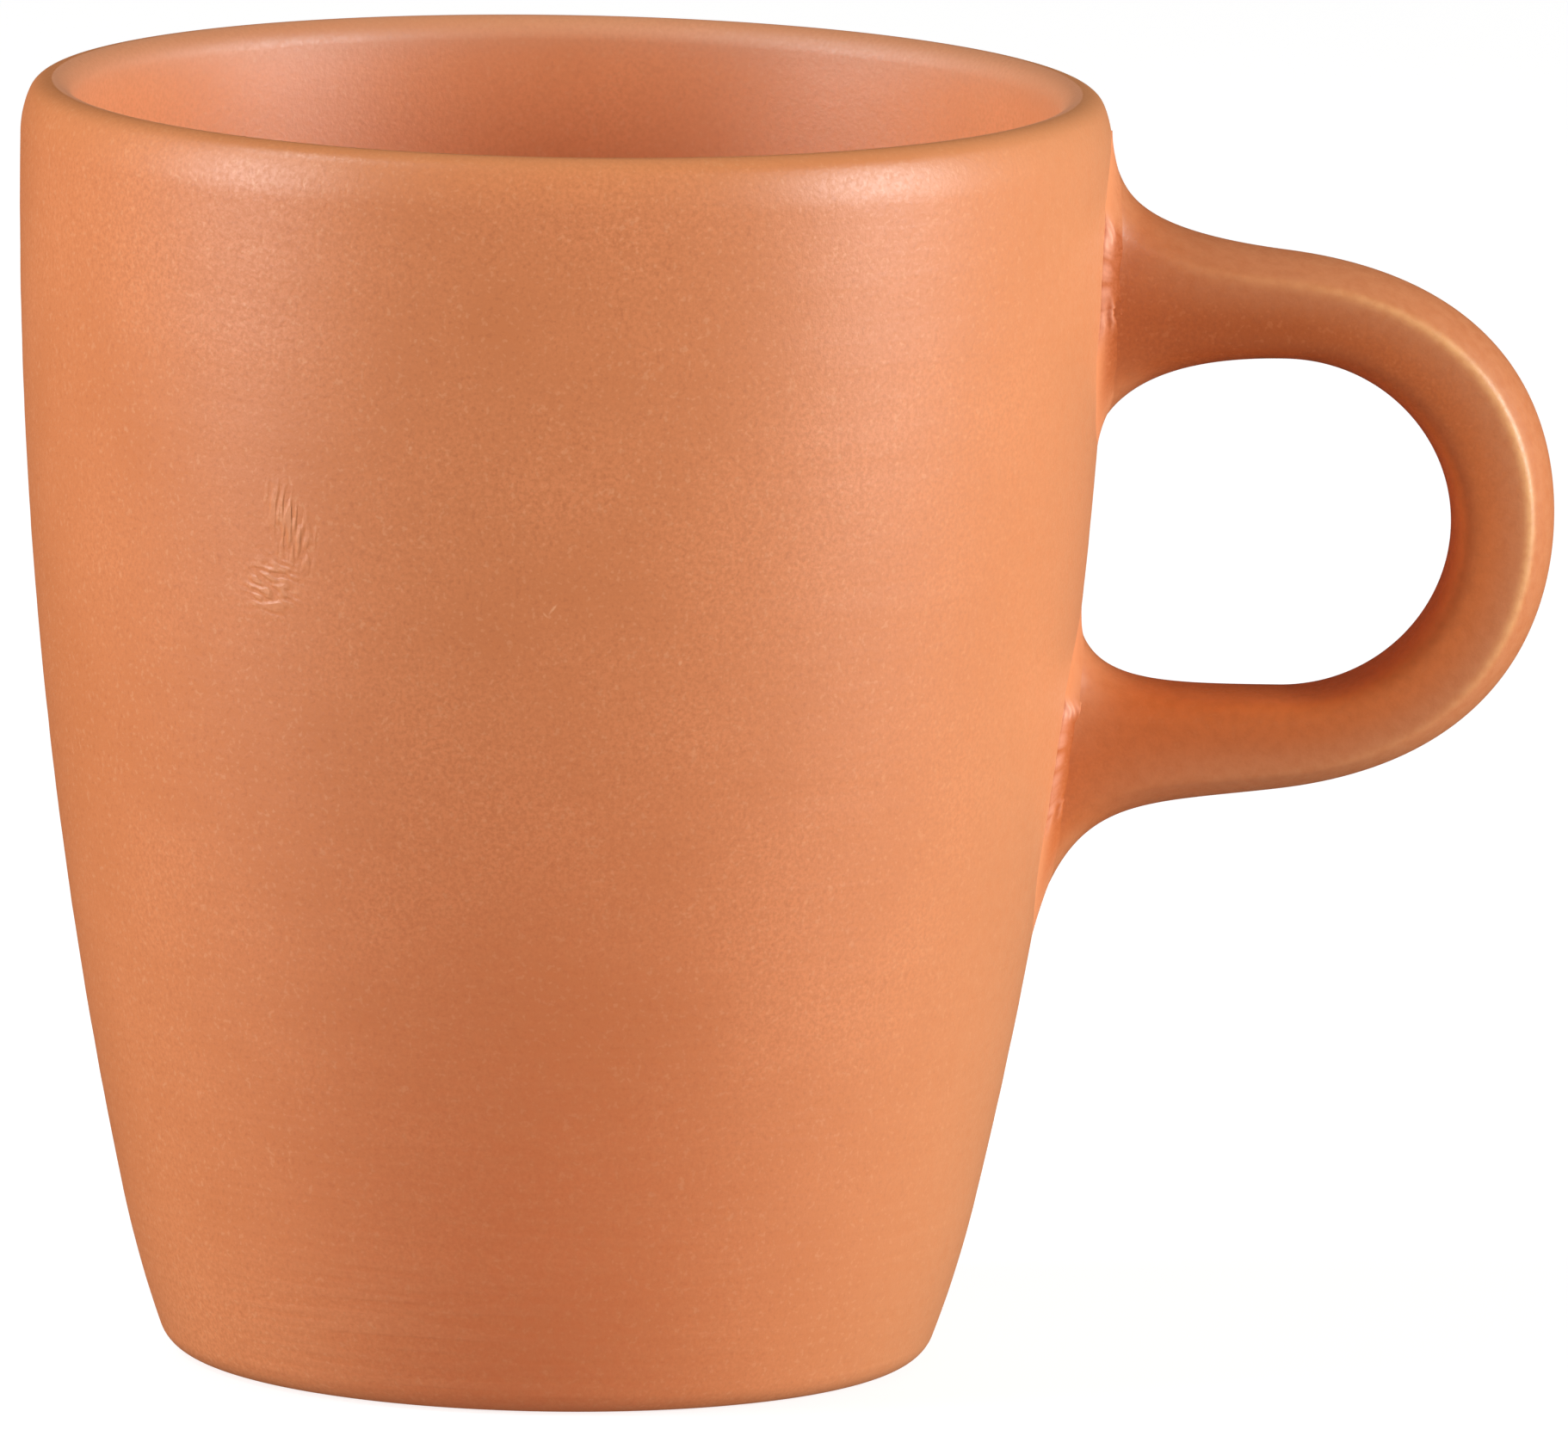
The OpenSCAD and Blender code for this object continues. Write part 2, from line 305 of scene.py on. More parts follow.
def bezier(p0, p1, p2, p3, steps):
    """The cubic curve in even steps of t; the last point is left out."""
    return cubic(np.linspace(0, 1, steps, endpoint=False)[:, None], p0, p1, p2, p3)


def arm(z, sweep, run, direction, end):
    """Four points of an arm's edge, from its root at height z to its end on the loop. The edge starts just
    inside the wall, run_on past the root's own edge. It leaves along the wall for sweep, and comes to its end
    along direction, over run."""
    past = z - np.sign(sweep) * run_on
    start = np.array([wall_x(past) - root_sink, past])
    swept = np.array([wall_x(z + sweep, slip_t) + root_lift, z + sweep])
    return start, swept, end - run * direction, end


# %% The two rails, each from the upper root round the loop to the lower root
arm_steps = 44
loop_steps = 56
upper_under, upper_top = root_heights["upper"]
lower_bottom, lower_over = root_heights["lower"]
upper_outer = arm(upper_top, sweep=-1.2, run=9.6, direction=upper_line, end=upper_back)
lower_outer = arm(lower_bottom, sweep=7.2, run=8.0, direction=lower_line, end=lower_back)
upper_inner = arm(upper_under, sweep=2.6, run=5.0, direction=level, end=upper_crown)
lower_inner = arm(lower_over, sweep=-3.2, run=6.5, direction=level, end=lower_crown)
outer_rail = np.concatenate([
    bezier(*upper_outer, arm_steps),
    bezier(upper_back, upper_back + loop_run * upper_line, outer_far + loop_sweep * upright, outer_far,
           loop_steps),
    bezier(outer_far, outer_far - loop_sweep * upright, lower_back + loop_run * lower_line, lower_back,
           loop_steps),
    bezier(*lower_outer[::-1], arm_steps),
    [lower_outer[0]],
])
inner_rail = np.concatenate([
    bezier(*upper_inner, arm_steps),
    bezier(upper_crown, upper_crown + round_pull * level, inner_far + round_pull * upright, inner_far,
           loop_steps),
    bezier(inner_far, inner_far - round_pull * upright, lower_crown + round_pull * level, lower_crown,
           loop_steps),
    bezier(*lower_inner[::-1], arm_steps),
    [lower_inner[0]],
])
print(f"rails of {len(outer_rail)} points, the outer one out to {outer_rail[:, 0].max():.1f} mm")


# %% Section of the root and section of the loop, both as (across the rails, to the side) from -1 to 1
def boxier(v):
    """A circle's sine or cosine raised to 2 / section_power with its sign kept: a superellipse."""
    return np.sign(v) * np.abs(v) ** (2 / section_power)


half_points = 80
ridge_in = 1.3
ridge_side = 0.91
ridge_u = 1 - 2 * ridge_in / strap_t
ridge_turn = np.arccos(ridge_u ** (section_power / 2))
half_turn = np.concatenate([np.linspace(0, ridge_turn, half_points // 2, endpoint=False),
                            np.linspace(ridge_turn, np.pi, half_points // 2, endpoint=False)])
root_half = np.stack([boxier(np.cos(half_turn)), boxier(np.sin(half_turn))], -1)

dome_chord = ridge_side * strap_w / 2
dome_r = (dome_chord ** 2 + ridge_in ** 2) / (2 * ridge_in)
dome_v = np.linspace(0, dome_chord, half_points // 2, endpoint=False)
dome_fall = dome_r - np.sqrt(dome_r ** 2 - dome_v ** 2)
dome = np.stack([1 - 2 * dome_fall / strap_t, 2 * dome_v / strap_w], -1)
ridge = np.array([ridge_u, ridge_side])
flank_pulls = np.array([[-0.6, 0.93], [-1, 1.22]])
inner_edge = np.array([-1, 0])
flank = bezier(ridge, *flank_pulls, inner_edge, half_points // 2)
loop_half = np.concatenate([dome, flank])


def both_sides(half):
    """Whole section from its half: the half, the inner edge, and the half mirrored on the way back."""
    return np.concatenate([half, [inner_edge], half[:0:-1] * (1, -1)])


def sand(section, passes):
    """Round a section's ridges: each pass moves a point half way to the mean of its two neighbours."""
    for _ in range(passes):
        section = section / 2 + (np.roll(section, 1, 0) + np.roll(section, -1, 0)) / 4
    return section


root_section = both_sides(root_half)
loop_section = sand(both_sides(loop_half), passes=5)
print(f"sections of {len(root_section)} points, ridge {ridge_in} mm in from the outer edge")

# %% Carry the sections along both rails, the root's giving way to the loop's
stations = np.arange(len(outer_rail))
from_root = np.clip(np.minimum(stations, stations[-1] - stations) / arm_steps, 0, 1)
loop_share = from_root ** 2 * (3 - 2 * from_root)
half_w = strap_w / 2 + (root_w - strap_w) / 2 * (1 - from_root) ** 2
middle = (outer_rail + inner_rail) / 2
reach = (outer_rail - inner_rail) / 2
section = root_section + loop_share[:, None, None] * (loop_section - root_section)
strap = np.stack([
    middle[:, :1] + reach[:, :1] * section[..., 0],
    half_w[:, None] * section[..., 1],
    middle[:, 1:] + reach[:, 1:] * section[..., 0],
], -1)
# The wall falls away to the sides of a root by its own roundness, and the section follows it there
falling = np.sqrt(rim_r ** 2 - strap[..., 1] ** 2) - rim_r
strap[..., 0] += falling * (1 - from_root[:, None]) ** 3
print(f"strap {strap_t:.2f} mm thick and {strap_w:.1f} mm wide, roots {root_w:.1f} mm wide")

# %% [markdown]
# ## Painted light and shade on the handle
# The handle's own tones are the clay painted darker and more saturated: painted shade. Three marks change
# that. A pale line along the ridge is a painted highlight, most on the upper half of the loop. The outer face
# and the upper part of each root keep the body's lighter clay, free of the painted shade. The lower side and
# the inner flank of the loop take painted bounce light from the body, a warmer orange. Each is a number from
# 0 to 1 on every point, worked out from the point's place on the strap, so it follows the shape with no
# painted image.


# %% How much painted highlight each point of the ridge takes
def from_ridge(side):
    """Distance of each point of the loop's section from the ridge on one side, in mm."""
    return np.linalg.norm((loop_section - ridge * (1, side)) * [strap_t / 2, strap_w / 2], axis=1)


ridge_width = 0.3
far_station = arm_steps + loop_steps
end_station = far_station + loop_steps
highlight_stations = [arm_steps // 2, arm_steps, arm_steps + 20, far_station, far_station + 20, far_station + 35,
                 end_station, stations[-1]]
highlight_shares = [0, 0.25, 0.9, 1, 0.6, 0.2, 0.05, 0]
highlight_along = np.interp(stations, highlight_stations, highlight_shares)
# Painted highlight: a pale line along the ridge of the loop, strongest on its upper half.
painted_ridge_highlight = np.exp(-(np.minimum(from_ridge(1), from_ridge(-1)) / ridge_width) ** 2) * highlight_along[:, None]
print(f"the ridge is worn over {2 * ridge_width:.1f} mm")


# %% Where the handle keeps the lighter clay, free of its painted shade: the outer face, and each root near the wall
def above_wall(points):
    """Height of points over the outside of the wall, measured straight out along x, in mm."""
    return points[..., 0] - np.sqrt(wall_x(points[..., 2]) ** 2 - points[..., 1] ** 2)


def ease(x, low, high):
    """0 up to low, 1 from high on, and an S-curve between them."""
    t = np.clip((x - low) / (high - low), 0, 1)
    return t * t * (3 - 2 * t)


unshaded_reach = 2.6
upper_part_fade = 0.5, 0.85
end_face_fade = 0.55, 0.95


def unshaded_near_root(points, heights):
    """1 on the upper part of a root and on its two ends, at the wall, falling off as a bell curve with height
    over the wall."""
    low, high = heights
    upper_part = ease((points[..., 2] - low) / (high - low), *upper_part_fade)
    end_face = 1 - ease(np.abs(points[..., 1]) / (root_w / 2), *end_face_fade)
    close = np.exp(-(np.clip(above_wall(points), 0, None) / unshaded_reach) ** 2)
    return np.maximum(upper_part, end_face) * close


# The outer face catches the light, so it keeps the lighter clay, and the painted shade stays on the flanks.
face_fade = -0.4, ridge_u + 0.1
first_half = (stations < len(stations) / 2)[:, None]
unshaded = np.where(first_half, unshaded_near_root(strap, root_heights["upper"]), unshaded_near_root(strap, root_heights["lower"]))
outer_face = ease(section[..., 0], *face_fade) * loop_share[:, None]
unshaded = np.maximum(unshaded, outer_face)
print(f"{(unshaded > 0.5).sum()} points of the handle are sponged")

# %% Painted bounce light from the body on the handle: more and more along the loop, and most on its inner flank
bounce_stations = [arm_steps, arm_steps + loop_steps // 2, far_station, far_station + loop_steps // 2,
                  end_station, stations[-1]]
bounce_shares = [0.05, 0.2, 0.5, 0.7, 0.8, 0.5]
bounce_station, bounce_width = far_station + 10, 45
flank_bounce, flank_fade = 0.6, (-0.3, 0.9)
bounce_and_flush = np.interp(stations, bounce_stations, bounce_shares)[:, None]
on_loop = np.exp(-((stations - bounce_station) / bounce_width) ** 2)[:, None]
bounce_and_flush = np.clip(bounce_and_flush + flank_bounce * on_loop * ease(-section[..., 0], *flank_fade), 0, 1)
print(f"the flame flashed {(bounce_and_flush > 0.5).mean():.0%} of the handle")

# %% Sink the roots into the wall and close them
roots = {"upper": strap[:arm_steps + 1], "lower": strap[::-1][:arm_steps + 1]}
sink = np.array([1.2, 0.0, 0.0])
strap = np.concatenate([strap[:1] - sink, strap, strap[-1:] - sink])
root_middles = strap[[0, -1]].mean(1)
strap_handle_ware = make_piece("strap_handle_ware", strap, root_middles[0], root_middles[1])
for mark, values in (("painted_ridge_highlight", painted_ridge_highlight), ("unshaded", unshaded), ("bounce_and_flush", bounce_and_flush)):
    paint(strap_handle_ware, mark, np.concatenate([values[:1], values, values[-1:]]))
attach(strap_handle_ware, "root")
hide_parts("handle")

# %% [markdown]
# ## The slip that lutes the roots
# Slip is brushed on, the handle is pressed home, and a little is squeezed out round each root. The potter
# runs a finger round it, which leaves a hollow fillet from the wall to the handle. Half way down each side
# the finger was lifted: there the slip ends at the wall in a crease, with a bead at its upper end and a
# torn patch lower down. The fillet is a curve from the wall to the handle, so that it meets both, carried
# round the root. A tube laid round the root would be quicker, but it would stand on the wall like a cord.


# %% Helpers that find the handle's surface near the wall
def finer(columns, count):
    """A root's columns redrawn at count places round it, on straight lines between the strap's own."""
    own = columns.shape[1]
    place = np.linspace(0, own, count, endpoint=False)
    left = place.astype(int)
    share = (place - left)[:, None]
    return columns[:, left] * (1 - share) + columns[:, (left + 1) % own] * share


def at_height(columns, height):
    """Point where each column of a root climbs past a height over the wall: the line between the steps before
    and after is cut in proportion. columns is (step, column, xyz), from the wall outwards."""
    climbed = above_wall(columns)
    after = np.maximum(np.argmax(climbed > height, axis=0), 1)
    column = np.arange(len(after))
    before, beyond = climbed[after - 1, column], climbed[after, column]
    share = ((height - before) / (beyond - before))[:, None]
    return columns[after - 1, column] * (1 - share) + columns[after, column] * share


def unit(vectors):
    """Vectors scaled to length 1."""
    return vectors / np.linalg.norm(vectors, axis=-1, keepdims=True)


# %% Face of the slip, carried round a root
collar_around = 480
curve_rows = 16
fillet_reach, crease_reach = 1.2, 0.5
end_climb = 0.25
skin = 0.012
wander_share = 0.08
crease_lift = 0.7
curve_pull = 0.6
look_along = 6
look_up = 0.2
crease_from = np.array([-1.0, 1.4])
crease_to = np.array([-0.4, 0.6])
across_curve = np.linspace(0, 1, curve_rows)[:, None, None]


def fillet(columns, creased, wander, climb_h):
    """Face of the slip as rows from the wall to the handle. Each column is a cubic curve from foot, where it
    lies along the wall, to top, where it lies along the handle; in the crease it leaves the wall at an angle.
    Gives the face, foot, top and the directions off the wall and out from the root."""
    corner = at_height(columns, 0.0)
    beside = np.clip(np.abs(corner[:, 1]) / (root_w / 2), 0, 1)
    off_wall = unit(corner * (1, 1, 0))
    along = np.roll(corner, -look_along, 0) - np.roll(corner, look_along, 0)
    out = unit(np.cross(along, off_wall))
    out *= np.sign(np.einsum("ij,ij->", out, corner - corner.mean(0)))
    reach = (fillet_reach + (crease_reach - fillet_reach) * creased) * (1 + wander_share * wander)
    climb = end_climb + beside * climb_h * (1 + wander_share * wander)
    foot = corner + out * reach[:, None]
    foot[:, 0] = np.sqrt(wall_x(foot[:, 2]) ** 2 - foot[:, 1] ** 2) - skin
    top = at_height(columns, climb) - skin * out
    up_handle = unit(at_height(columns, climb + look_up) - at_height(columns, climb))
    leave = (corner - foot) + crease_lift * creased[:, None] * (top - corner)
    arrive = up_handle * climb[:, None]
    face = cubic(across_curve, foot, foot + curve_pull * leave, top - curve_pull * arrive, top)
    return face, foot, top, off_wall, out


print(f"the slip's face is {curve_rows} rows of {collar_around} points")

# %% Bead and torn patch
bead_h, torn_h = 0.24, 0.1
bead_lean = 0.5
bead_even, bead_uneven = 0.85, 0.25
bead_turns, bead_pitch = 2.5, 0.9
torn_half_l = 0.9
tear_turns, tear_slant, tear_fray = 4.4, 1.4, 0.9


def squeezed_out(z, creased, frayed, bead, torn_at):
    """How far the bead and the tears stand up, each as a share for every point of the face. The bead is a
    leaning bell in height and across the face, with a sine twist on it. The tears are a sine across the face,
    slanted and frayed, under a bell in height."""
    t = across_curve[..., 0]
    bead_z, bead_half_l, bead_t, bead_half_t = bead
    lean = bead_half_t * (z - bead_z) / bead_half_l
    across = (t - bead_t - bead_lean * lean) / bead_half_t
    on_bead = np.exp(-((z - bead_z) / bead_half_l) ** 2 - across ** 2)
    on_bead *= bead_even + bead_uneven * np.sin(2 * np.pi * (bead_turns * t + z / bead_pitch))
    torn = creased * np.exp(-((z - torn_at) / torn_half_l) ** 2)
    wave = np.sin(tear_turns * np.pi * t + tear_slant * z + tear_fray * frayed)
    return on_bead, torn * wave * np.sin(np.pi * t)


print(f"beads stand {bead_h} mm proud, tears {torn_h} mm")

# %% Put a ring of slip together and mark it
buried = 0.5
walled_fade = 0.05, 0.8
rim_fade = 0.1, 0.65
rim_even, rim_uneven = 0.75, 0.35
# How much painted highlight the tears and the crease's edge take.
torn_highlight, rim_highlight = 0.5, 0.5


def collar(name, columns, heights, crease, climb_h, bead, torn_at, bounce_share, seed):
    """Ring of slip round a root: its face with bead and tears, closed behind inside the clay. It is marked
    where it takes the wall's colour, where a painted highlight lies on the bead, the tears and the edge of
    the crease, where it keeps the lighter clay free of the handle's painted shade, and where painted bounce
    light falls."""
    columns = finer(columns, collar_around)
    corner = at_height(columns, 0.0)
    z = corner[:, 2]
    creased = ease(z, *(crease[0] + crease_from)) * (1 - ease(z, *(crease[1] + crease_to)))
    travel = np.cumsum(np.linalg.norm(np.roll(corner, -1, 0) - corner, axis=1))
    wander = ripple(travel, shortest=2.5, longest=9.0, waves=6, seed=seed)
    frayed = ripple(travel, shortest=0.35, longest=1.5, waves=14, seed=seed + 1)
    face, foot, top, off_wall, out = fillet(columns, creased, wander, climb_h)
    on_bead, on_torn = squeezed_out(z, creased, frayed, bead, torn_at)
    face += (bead_h * on_bead + torn_h * on_torn)[..., None] * unit(off_wall + out)
    behind = [(top - buried * out)[None], (corner - buried * (out + off_wall))[None]]
    rows = np.concatenate([(foot - buried * off_wall)[None], face, *behind])
    ring = make_piece(name, rows)
    t = across_curve[..., 0]
    rim = creased * (1 - ease(t, *rim_fade)) * np.clip(rim_even + rim_uneven * frayed, 0, 1)
    # Painted highlight on the bead, the tears and the crease's edge; the wall's colour at the foot of the
    # slip.
    face_marks = {
        "walled": (1 - ease(t, *walled_fade)) * (1 - creased),
        "painted_slip_highlight": np.clip(on_bead + torn_highlight * np.clip(on_torn, 0, 1) + rim_highlight * rim, 0, 1),
        "unshaded": unshaded_near_root(face, heights) * (1 - creased),
    }
    for mark, values in face_marks.items():
        paint(ring, mark, np.pad(values, ((1, len(behind)), (0, 0))))
    # Painted bounce light on the slip, even over each ring.
    paint(ring, "bounce_and_flush", np.full(rows.shape[:2], bounce_share))
    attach(ring, "root")
    return ring


# %% The two rings of slip. A bead is (height, half length, place across the face, half width there)
upper_slip_collar = collar(
    "upper_slip_collar", roots["upper"], root_heights["upper"], crease=(56.9, 63.6), climb_h=0.9,
    bead=(62.9, 0.75, 0.14, 0.24), torn_at=58.3, bounce_share=0.05, seed=11)
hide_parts("upper_slip_joint")
lower_slip_collar = collar(
    "lower_slip_collar", roots["lower"], root_heights["lower"], crease=(29.8, 36.9), climb_h=0.6,
    bead=(36.6, 0.5, 0.3, 0.5), torn_at=30.0, bounce_share=0.5, seed=23)
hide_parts("lower_slip_joint")

# %% [markdown]
# ## Tones and painted shade on the body
# The clay is a little paler towards the handle and in a band round each root, and redder on the front, more
# and more towards the foot. Where the lip faces up it is painted a darker, duller tan: painted shade and a
# painted grazing reflection, which runs a little way down the inside of the mouth. A map drawn by hand could
# hold this, but a number per point, worked out from the point's place, needs no image.


# %% Mark the paler side and the painted shade on the lip
pale_band_middle = 2.2
pale_band_width = 2.4
handled_angle = 0.73
mouth_shade_depth = 1.8
lip_shade_share = 0.55


def beside_root(points, heights):
    """1 along a band beside a root's outline, falling off as a bell curve. The superellipse radius round the
    root is 1 on its outline, so that radius less 1, times half the root's width, is about the distance."""
    low, high = heights
    across = np.abs(points[..., 1]) / (root_w / 2)
    along = np.abs(points[..., 2] - (low + high) / 2) / ((high - low) / 2)
    radius = (across ** section_power + along ** section_power) ** (1 / section_power)
    beyond = (radius - 1) * root_w / 2
    return np.exp(-((beyond - pale_band_middle) / pale_band_width) ** 2) * (points[..., 0] > 0)


body_x, body_y, body_z = np.moveaxis(body_rows, -1, 0)
near_roots = np.maximum(beside_root(body_rows, root_heights["upper"]),
                        beside_root(body_rows, root_heights["lower"]))
from_handle = np.arctan2(np.abs(body_y), body_x)
# Paler towards the handle and in a band round each root.
paler_by_handle = np.maximum(near_roots, np.exp(-(from_handle / handled_angle) ** 2))
# Painted shade and a painted grazing reflection: a darker, duller tan where the lip faces up, and a little
# way down inside the mouth.
facing_up = np.clip(outline_normals(outline)[:, 1], 0, 1) * (outline[:, 1] > widest_z)
down_mouth = np.exp(-((cup_h - outline[:, 1]) / mouth_shade_depth) ** 2)
lip_shade_rows = lip_shade_share * np.where(outline[:, 0] < lip_c[0], down_mouth, facing_up)
lip_shade = np.repeat(lip_shade_rows[:, None], body_around, axis=1)
print(f"{(paler_by_handle > 0.5).sum()} points wiped, {(lip_shade > lip_shade_share / 2).sum()} points tanned")


# %% Mark the redder flush low on the front, and where the wall is scuffed, scraped and lined by turning
def rubbed_spot(x, z, half_x, half_z, drift=0.0):
    """1 on a flat-topped spot round x, z on the front of the wall. drift slides it along -x as z grows."""
    across = (body_x - x + drift * (body_z - z)) / half_x
    along = (body_z - z) / half_z
    return np.exp(-(across ** 2 + along ** 2) ** 2) * (body_y < 0)


flush_top = 55
flush_angle, flush_spread = -0.05, 0.55
lines_all_over, lines_low_down, lines_at_foot = 0.035, 0.075, 0.2
lined_z, lined_half_z = 4.0, 3.5
lined_angle, lined_spread = -0.5, 0.4
from_front = np.arctan2(body_x, -body_y)
low_down = 1 - ease(body_z, 0, flush_top)
near_foot = np.exp(-((body_z - lined_z) / lined_half_z) ** 2)
on_left = np.exp(-((from_front - lined_angle) / lined_spread) ** 2)
body_marks = {
    "scuffed": rubbed_spot(-14.3, 49.3, 1.0, 2.3, drift=0.33),
    "scraped": rubbed_spot(-15.2, 45.9, 1.4, 1.5),
    # Redder on the front, more and more towards the foot.
    "bounce_and_flush": low_down * np.exp(-((from_front - flush_angle) / flush_spread) ** 2),
    "turned": lines_all_over + lines_low_down * low_down + lines_at_foot * near_foot * on_left,
    "paler_by_handle": paler_by_handle,
    "lip_shade": lip_shade,
}
for mark, values in body_marks.items():
    paint(cup_body_ware, mark, values)
    print(f"{mark}: up to {values.max():.2f}, {values.mean():.3f} on average")

# %% [markdown]
# ## Clay
# Fired stoneware isn't one colour: the body has soft patches, a fine sandy grain and a few pale grains of
# grog. Each is a noise of its own size on Object coordinates, so the pattern stays fixed in the clay. The
# same grain also drives the roughness and a very small bump, because a matte surface is a rough one seen
# from afar.


# %% Helpers for material nodes
def add(tree, kind, inputs=None, **settings):
    """Node of that kind with its settings and the constant values of its sockets."""
    node = tree.nodes.new(kind)
    for key, value in settings.items():
        setattr(node, key, value)
    for key, value in (inputs or {}).items():
        node.inputs[key].default_value = value
    return node


def noise(tree, coordinates, size_mm, detail=3.0, rough=0.55):
    """Noise whose blotches are about size_mm wide, on coordinates in metres."""
    node = add(tree, "ShaderNodeTexNoise",
               {"Scale": 1 / (size_mm * MM), "Detail": detail, "Roughness": rough})
    tree.links.new(coordinates, node.inputs["Vector"])
    return node.outputs["Fac"]


def spread(tree, value, low, high, to_low=0.0, to_high=1.0):
    """Map a value from low..high to to_low..to_high, held at the ends."""
    node = add(tree, "ShaderNodeMapRange",
               {"From Min": low, "From Max": high, "To Min": to_low, "To Max": to_high})
    tree.links.new(value, node.inputs["Value"])
    return node.outputs["Result"]


def blend(tree, factor, colour_a, colour_b):
    """Colour between a and b by factor. Each is a colour or another node's output."""
    node = add(tree, "ShaderNodeMix", data_type="RGBA")
    tree.links.new(factor, node.inputs["Factor"])
    for socket, colour in ((node.inputs[6], colour_a), (node.inputs[7], colour_b)):
        if isinstance(colour, tuple):
            socket.default_value = (*colour, 1)
        else:
            tree.links.new(colour, socket)
    return node.outputs[2]


def combine(tree, operation, a, b):
    """Arithmetic on two values; each is a number or another node's output."""
    node = add(tree, "ShaderNodeMath", operation=operation)
    for socket, value in zip(node.inputs, (a, b)):
        if isinstance(value, (int, float)):
            socket.default_value = value
        else:
            tree.links.new(value, socket)
    return node.outputs["Value"]


def painted(tree, attribute):
    """The number that paint kept under that name."""
    return add(tree, "ShaderNodeAttribute", attribute_name=attribute).outputs["Fac"]


def linear(r, g, b):
    """Colour given as 0-255 screen values, as linear light."""
    c = np.array([r, g, b]) / 255
    return tuple(np.where(c <= 0.04045, c / 12.92, ((c + 0.055) / 1.055) ** 2.4).tolist())


# %% [markdown]
# ## Nicks and scuffs
# Before it was fired the wall was knocked and rubbed in a few places. A nick is a small ellipse of paler
# clay, placed one by one. A scuff is dozens of short strokes side by side: placing each would take dozens
# of nodes, so it is one noise, stretched into streaks and shown only where a mark on the wall lets it
# through. The same streaks, stretched level, give the fine lines that turning leaves. They lift the bump,
# so they catch light.

# %% Nicks in the front of the wall, as (x, z, lean in degrees, half width, half length) in mm
nick_depth = 3.0
nick_core = 0.4
nicks = [(-0.1, 45.55, 38, 0.08, 0.45), (-0.5, 45.25, -42, 0.07, 0.22), (6.8, 42.6, 20, 0.12, 0.18),
         (-7.9, 54.1, 15, 0.11, 0.17)]


def nicked(tree, coordinates, x, z, lean, half_w, half_l):
    """1 on a nick in the front of the wall and 0 off it: an ellipse round x, z in mm, whose long axis leans
    to the right of upright."""
    y = -np.sqrt(wall_x(z) ** 2 - x ** 2)
    place = add(tree, "ShaderNodeMapping", {
        "Location": (x * MM, y * MM, z * MM), "Rotation": (0, np.radians(lean), 0),
        "Scale": (half_w * MM, nick_depth * MM, half_l * MM)}, vector_type="TEXTURE")
    tree.links.new(coordinates, place.inputs["Vector"])
    size = add(tree, "ShaderNodeVectorMath", operation="LENGTH")
    tree.links.new(place.outputs["Vector"], size.inputs[0])
    return spread(tree, size.outputs["Value"], nick_core, 1.0, 1.0, 0.0)


print(f"{len(nicks)} nicks in the front of the wall")

# %% Streaks, stretched by so many mm along x, y and z, and leaning by an angle in radians
streak_edges = 0.4, 0.65
one_stretch = 1 / MM
scuffs = [("scuffed", (0.27, 0.27, 1.2), 0.12), ("scraped", (0.7, 0.7, 0.3), 0.3),
          ("turned", (8, 8, 0.4), 0.0)]


def streaked(tree, coordinates, attribute, stretch, lean):
    """Streaks where the attribute is painted: a noise as large as one stretch, kept above its middle."""
    line_up = add(tree, "ShaderNodeMapping", {
        "Scale": tuple(s * MM for s in stretch), "Rotation": (0, lean, 0)}, vector_type="TEXTURE")
    tree.links.new(coordinates, line_up.inputs["Vector"])
    streak = noise(tree, line_up.outputs["Vector"], one_stretch, 0)
    return combine(tree, "MULTIPLY", painted(tree, attribute), spread(tree, streak, *streak_edges))


print("streaks where the wall is", [scuff[0] for scuff in scuffs])

# %% Recipe for a clay: sizes in mm, and the values of each noise between which it shows
patch_size, patch_edges = 14.0, (0.35, 0.65)
grain_size, grain_edges = 0.22, (0.38, 0.62)
dimple_size = 0.6
speckle_size = 0.3
pit_edges, pit_share = (0.60, 0.72), 0.3
pale_edges, pale_share = (0.28, 0.40), 0.22
grog_gap, grog_edges, grog_share = 1.7, (0.04, 0.09), 0.12
smudge_size, smudge_edges, smudge_shares = 0.6, (0.3, 0.6), (0.55, 0.8)
rough_edges = 0.3, 0.7
nick_share = 0.4
scuff_height, scuff_share = 4.5, 0.18


